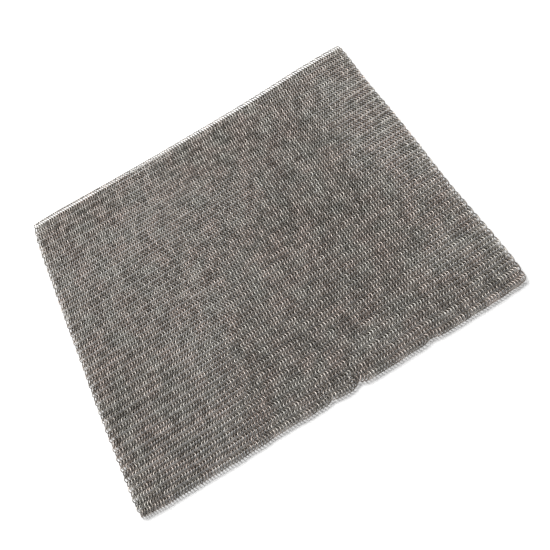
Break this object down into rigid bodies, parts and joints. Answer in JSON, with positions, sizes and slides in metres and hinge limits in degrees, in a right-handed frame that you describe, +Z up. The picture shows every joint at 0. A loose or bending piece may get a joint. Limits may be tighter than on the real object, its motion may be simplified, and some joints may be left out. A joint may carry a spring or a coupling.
{
  "type": "flat panel of woven steel ring mesh",
  "caption": "Rectangular panel of fine steel ring mesh, woven four in one, that lies flat or folds course by course to guard what it covers.",
  "frame": {"origin": "under the middle of the panel, on the surface it lies on", "axes": "+X along the rows of rings, +Y across the rows, +Z up out of the panel's upper face"},
  "size_m": [0.2074, 0.1828, 0.0029],
  "materials": {
    "ring_wire": "worn, satin, slightly brown with handling"
  },
  "bodies": {
    "course_01": {"course_01": "ring_wire"},
    "course_02": {"course_02": "ring_wire"},
    "course_03": {"course_03": "ring_wire"},
    "course_04": {"course_04": "ring_wire"},
    "course_05": {"course_05": "ring_wire"},
    "course_06": {"course_06": "ring_wire"},
    "course_07": {"course_07": "ring_wire"},
    "course_08": {"course_08": "ring_wire"},
    "course_09": {"course_09": "ring_wire"},
    "course_10": {"course_10": "ring_wire"},
    "course_11": {"course_11": "ring_wire"},
    "course_12": {"course_12": "ring_wire"},
    "course_13": {"course_13": "ring_wire"},
    "course_14": {"course_14": "ring_wire"},
    "course_15": {"course_15": "ring_wire"},
    "course_16": {"course_16": "ring_wire"},
    "course_17": {"course_17": "ring_wire"},
    "course_18": {"course_18": "ring_wire"},
    "course_19": {"course_19": "ring_wire"},
    "course_20": {"course_20": "ring_wire"},
    "course_21": {"course_21": "ring_wire"},
    "course_22": {"course_22": "ring_wire"},
    "course_23": {"course_23": "ring_wire"},
    "course_24": {"course_24": "ring_wire"},
    "course_25": {"course_25": "ring_wire"},
    "course_26": {"course_26": "ring_wire"},
    "course_27": {"course_27": "ring_wire"},
    "course_28": {"course_28": "ring_wire"},
    "course_29": {"course_29": "ring_wire"},
    "course_30": {"course_30": "ring_wire"},
    "course_31": {"course_31": "ring_wire"},
    "course_32": {"course_32": "ring_wire"},
    "course_33": {"course_33": "ring_wire"},
    "course_34": {"course_34": "ring_wire"},
    "corner_ring_near_left": {"corner_ring_near_left": "ring_wire"},
    "corner_ring_near_right": {"corner_ring_near_right": "ring_wire"},
    "corner_ring_far_left": {"corner_ring_far_left": "ring_wire"},
    "corner_ring_far_right": {"corner_ring_far_right": "ring_wire"}
  },
  "joints": [
    {"name": "corner_ring_near_left_swing", "type": "hinge", "parent": "course_01", "child": "corner_ring_near_left", "pos_m": [-0.10213, -0.08811, 0.00145], "axis": [-1, 0, 0], "range_deg": [-40, 40]},
    {"name": "corner_ring_near_right_swing", "type": "hinge", "parent": "course_01", "child": "corner_ring_near_right", "pos_m": [0.10136, -0.08811, 0.00145], "axis": [-1, 0, 0], "range_deg": [-40, 40]},
    {"name": "corner_ring_far_left_swing", "type": "hinge", "parent": "course_34", "child": "corner_ring_far_left", "pos_m": [-0.10136, 0.08811, 0.00145], "axis": [1, 0, 0], "range_deg": [-40, 40]},
    {"name": "corner_ring_far_right_swing", "type": "hinge", "parent": "course_34", "child": "corner_ring_far_right", "pos_m": [0.10213, 0.08811, 0.00145], "axis": [1, 0, 0], "range_deg": [-40, 40]},
    {"name": "fold_01_02", "type": "hinge", "parent": "course_02", "child": "course_01", "pos_m": [0, -0.08544, 0.00145], "axis": [-1, 0, 0], "range_deg": [-60, 60]},
    {"name": "fold_02_03", "type": "hinge", "parent": "course_03", "child": "course_02", "pos_m": [0, -0.0801, 0.00145], "axis": [1, 0, 0], "range_deg": [-60, 60]},
    {"name": "fold_03_04", "type": "hinge", "parent": "course_04", "child": "course_03", "pos_m": [0, -0.07476, 0.00145], "axis": [1, 0, 0], "range_deg": [-60, 60]},
    {"name": "fold_04_05", "type": "hinge", "parent": "course_05", "child": "course_04", "pos_m": [0, -0.06942, 0.00145], "axis": [-1, 0, 0], "range_deg": [-60, 60]},
    {"name": "fold_05_06", "type": "hinge", "parent": "course_06", "child": "course_05", "pos_m": [0, -0.06408, 0.00145], "axis": [-1, 0, 0], "range_deg": [-60, 60]},
    {"name": "fold_06_07", "type": "hinge", "parent": "course_07", "child": "course_06", "pos_m": [0, -0.05874, 0.00145], "axis": [1, 0, 0], "range_deg": [-60, 60]},
    {"name": "fold_07_08", "type": "hinge", "parent": "course_08", "child": "course_07", "pos_m": [0, -0.0534, 0.00145], "axis": [1, 0, 0], "range_deg": [-60, 60]},
    {"name": "fold_08_09", "type": "hinge", "parent": "course_09", "child": "course_08", "pos_m": [0, -0.04806, 0.00145], "axis": [-1, 0, 0], "range_deg": [-60, 60]},
    {"name": "fold_09_10", "type": "hinge", "parent": "course_10", "child": "course_09", "pos_m": [0, -0.04272, 0.00145], "axis": [-1, 0, 0], "range_deg": [-60, 60]},
    {"name": "fold_10_11", "type": "hinge", "parent": "course_11", "child": "course_10", "pos_m": [0, -0.03738, 0.00145], "axis": [1, 0, 0], "range_deg": [-60, 60]},
    {"name": "fold_11_12", "type": "hinge", "parent": "course_12", "child": "course_11", "pos_m": [0, -0.03204, 0.00145], "axis": [1, 0, 0], "range_deg": [-60, 60]},
    {"name": "fold_12_13", "type": "hinge", "parent": "course_13", "child": "course_12", "pos_m": [0, -0.0267, 0.00145], "axis": [-1, 0, 0], "range_deg": [-60, 60]},
    {"name": "fold_13_14", "type": "hinge", "parent": "course_14", "child": "course_13", "pos_m": [0, -0.02136, 0.00145], "axis": [-1, 0, 0], "range_deg": [-60, 60]},
    {"name": "fold_14_15", "type": "hinge", "parent": "course_15", "child": "course_14", "pos_m": [0, -0.01602, 0.00145], "axis": [1, 0, 0], "range_deg": [-60, 60]},
    {"name": "fold_15_16", "type": "hinge", "parent": "course_16", "child": "course_15", "pos_m": [0, -0.01068, 0.00145], "axis": [1, 0, 0], "range_deg": [-60, 60]},
    {"name": "fold_16_17", "type": "hinge", "parent": "course_17", "child": "course_16", "pos_m": [0, -0.00534, 0.00145], "axis": [-1, 0, 0], "range_deg": [-60, 60]},
    {"name": "fold_17_18", "type": "hinge", "parent": "course_17", "child": "course_18", "pos_m": [0, 0, 0.00145], "axis": [1, 0, 0], "range_deg": [-60, 60]},
    {"name": "fold_18_19", "type": "hinge", "parent": "course_18", "child": "course_19", "pos_m": [0, 0.00534, 0.00145], "axis": [-1, 0, 0], "range_deg": [-60, 60]},
    {"name": "fold_19_20", "type": "hinge", "parent": "course_19", "child": "course_20", "pos_m": [0, 0.01068, 0.00145], "axis": [-1, 0, 0], "range_deg": [-60, 60]},
    {"name": "fold_20_21", "type": "hinge", "parent": "course_20", "child": "course_21", "pos_m": [0, 0.01602, 0.00145], "axis": [1, 0, 0], "range_deg": [-60, 60]},
    {"name": "fold_21_22", "type": "hinge", "parent": "course_21", "child": "course_22", "pos_m": [0, 0.02136, 0.00145], "axis": [1, 0, 0], "range_deg": [-60, 60]},
    {"name": "fold_22_23", "type": "hinge", "parent": "course_22", "child": "course_23", "pos_m": [0, 0.0267, 0.00145], "axis": [-1, 0, 0], "range_deg": [-60, 60]},
    {"name": "fold_23_24", "type": "hinge", "parent": "course_23", "child": "course_24", "pos_m": [0, 0.03204, 0.00145], "axis": [-1, 0, 0], "range_deg": [-60, 60]},
    {"name": "fold_24_25", "type": "hinge", "parent": "course_24", "child": "course_25", "pos_m": [0, 0.03738, 0.00145], "axis": [1, 0, 0], "range_deg": [-60, 60]},
    {"name": "fold_25_26", "type": "hinge", "parent": "course_25", "child": "course_26", "pos_m": [0, 0.04272, 0.00145], "axis": [1, 0, 0], "range_deg": [-60, 60]},
    {"name": "fold_26_27", "type": "hinge", "parent": "course_26", "child": "course_27", "pos_m": [0, 0.04806, 0.00145], "axis": [-1, 0, 0], "range_deg": [-60, 60]},
    {"name": "fold_27_28", "type": "hinge", "parent": "course_27", "child": "course_28", "pos_m": [0, 0.0534, 0.00145], "axis": [-1, 0, 0], "range_deg": [-60, 60]},
    {"name": "fold_28_29", "type": "hinge", "parent": "course_28", "child": "course_29", "pos_m": [0, 0.05874, 0.00145], "axis": [1, 0, 0], "range_deg": [-60, 60]},
    {"name": "fold_29_30", "type": "hinge", "parent": "course_29", "child": "course_30", "pos_m": [0, 0.06408, 0.00145], "axis": [1, 0, 0], "range_deg": [-60, 60]},
    {"name": "fold_30_31", "type": "hinge", "parent": "course_30", "child": "course_31", "pos_m": [0, 0.06942, 0.00145], "axis": [-1, 0, 0], "range_deg": [-60, 60]},
    {"name": "fold_31_32", "type": "hinge", "parent": "course_31", "child": "course_32", "pos_m": [0, 0.07476, 0.00145], "axis": [-1, 0, 0], "range_deg": [-60, 60]},
    {"name": "fold_32_33", "type": "hinge", "parent": "course_32", "child": "course_33", "pos_m": [0, 0.0801, 0.00145], "axis": [1, 0, 0], "range_deg": [-60, 60]},
    {"name": "fold_33_34", "type": "hinge", "parent": "course_33", "child": "course_34", "pos_m": [0, 0.08544, 0.00145], "axis": [1, 0, 0], "range_deg": [-60, 60]}
  ]
}
